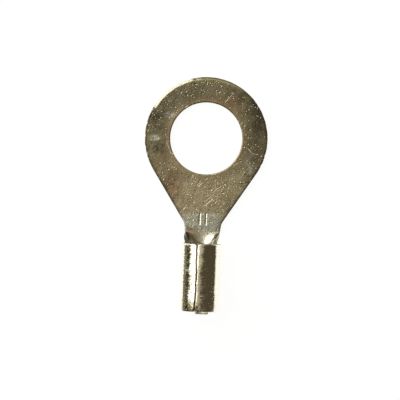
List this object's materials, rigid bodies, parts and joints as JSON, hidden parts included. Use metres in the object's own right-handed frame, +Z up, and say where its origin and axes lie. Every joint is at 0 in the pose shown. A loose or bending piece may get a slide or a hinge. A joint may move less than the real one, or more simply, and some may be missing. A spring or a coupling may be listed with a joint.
{
  "type": "ring terminal",
  "caption": "Uninsulated crimp ring terminal of formed sheet metal: a flat ring for a screw stud, tapered into a trough-shaped neck and a rolled wire barrel with a butt seam.",
  "frame": {"origin": "on the axis of the stud hole, at the underside of the ring", "axes": "+X to the right and +Y towards the tip of the ring, with the wire barrel towards -Y; +Z up, out of the face that shows the barrel's seam, when the terminal lies flat"},
  "size_m": [0.0168, 0.0326, 0.0056],
  "materials": {
    "plated_copper": null
  },
  "bodies": {
    "root": {"ring_terminal": "plated_copper"}
  },
  "joints": []
}
